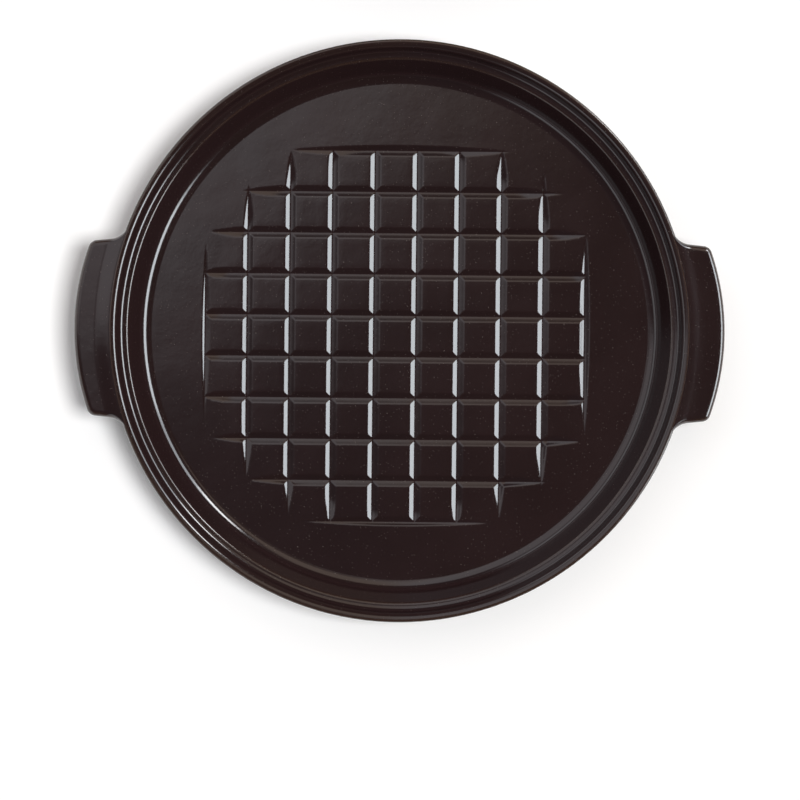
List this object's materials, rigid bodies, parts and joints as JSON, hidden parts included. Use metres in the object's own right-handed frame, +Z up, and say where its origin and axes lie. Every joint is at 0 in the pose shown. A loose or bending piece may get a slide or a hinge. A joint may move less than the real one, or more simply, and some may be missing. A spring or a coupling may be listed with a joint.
{
  "type": "bread cloche",
  "caption": "Round glazed stoneware bread cloche: shallow base with waffle-grooved floor, stepped lid seat and two tab handles, with a bell lid and knob set aside beside it.",
  "frame": {"origin": "centre of the base's flat foot, on the surface it stands on", "axes": "+Z up; +X through the two handles; +Y towards the lid, which stands behind the base"},
  "size_m": [0.3406, 0.6413, 0.13],
  "materials": {
    "glaze": "glossy dark brown-black glaze with fine pale speckles"
  },
  "bodies": {
    "base": {"base": "glaze"},
    "lid": {"lid": "glaze"}
  },
  "joints": [
    {"name": "lid_lift", "type": "slide", "parent": "base", "child": "lid", "axis": [0, 0, 1], "range_m": [0, 0.25]}
  ]
}
